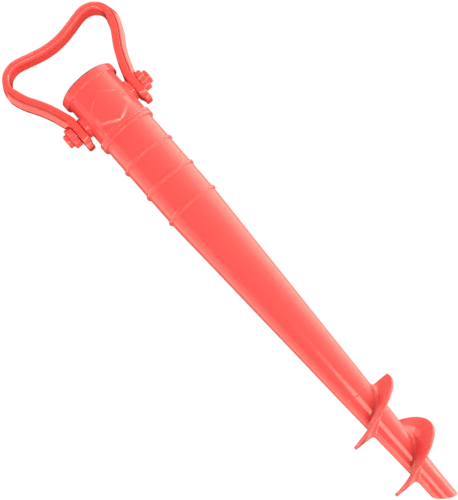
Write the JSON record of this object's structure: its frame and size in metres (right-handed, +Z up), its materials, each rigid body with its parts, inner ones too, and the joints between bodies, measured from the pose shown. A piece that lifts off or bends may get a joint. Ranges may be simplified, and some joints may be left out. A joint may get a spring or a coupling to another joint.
{
  "type": "sand anchor for a beach umbrella",
  "caption": "Screw-in plastic sand anchor: hollow tapered spike with a helical auger foot, clamp-screw pole socket and a folding bail handle.",
  "frame": {"origin": "on the spike's axis at the middle of the lowest of the three thin ribs, where the sand line sits when the auger is fully driven", "axes": "+Z up along the spike towards the mouth of the socket; -Y is the front, which carries the raised hexagon; X runs along the pivot of the bail and the two clamp screws"},
  "size_m": [0.0997, 0.0512, 0.43],
  "materials": {
    "coral_plastic": "glossy moulded polypropylene, smooth",
    "coral_handle": "glossy moulded polypropylene, slightly darker",
    "dark_liner": "dark soft liner, matt",
    "zinc_steel": "bright zinc-plated steel",
    "white_nylon": "natural nylon",
    "grip_rubber": "dark grip rubber, matt"
  },
  "bodies": {
    "anchor": {"socket_head": "coral_plastic", "mouth_liner": "dark_liner", "taper_tube": "coral_plastic", "auger_tip": "coral_plastic", "lock_nut_left": "zinc_steel", "spacer_washer_left": "coral_handle", "lock_nut_right": "zinc_steel", "spacer_washer_right": "coral_handle"},
    "bail": {"carry_handle": "coral_handle", "pivot_bush_left": "white_nylon", "pivot_bush_right": "white_nylon"},
    "pad_left": {"pressure_pad_left": "grip_rubber"},
    "screw_left": {"clamp_bolt_left": "zinc_steel", "clamp_knob_left": "coral_handle", "knob_cap_left": "coral_handle", "thrust_washer_left": "coral_handle"},
    "pad_right": {"pressure_pad_right": "grip_rubber"},
    "screw_right": {"clamp_bolt_right": "zinc_steel", "clamp_knob_right": "coral_handle", "knob_cap_right": "coral_handle", "thrust_washer_right": "coral_handle"}
  },
  "joints": [
    {"name": "bail_fold", "type": "hinge", "parent": "anchor", "child": "bail", "pos_m": [0, 0, 0.0923], "axis": [1, 0, 0], "range_deg": [-150, 150]},
    {"name": "clamp_travel_left", "type": "slide", "parent": "anchor", "child": "pad_left", "axis": [-1, 0, 0], "range_m": [0, 0.0045]},
    {"name": "clamp_turn_left", "type": "hinge", "parent": "pad_left", "child": "screw_left", "pos_m": [-0.03, 0, 0.0923], "axis": [-1, 0, 0], "range_deg": [0, 2026]},
    {"name": "clamp_travel_right", "type": "slide", "parent": "anchor", "child": "pad_right", "axis": [1, 0, 0], "range_m": [0, 0.0045]},
    {"name": "clamp_turn_right", "type": "hinge", "parent": "pad_right", "child": "screw_right", "pos_m": [0.03, 0, 0.0923], "axis": [1, 0, 0], "range_deg": [0, 2026]}
  ],
  "couplings": [
    {"joint": "clamp_turn_left", "follows": "clamp_travel_left", "rad_per_m": 7854},
    {"joint": "clamp_turn_right", "follows": "clamp_travel_right", "rad_per_m": 7854}
  ]
}
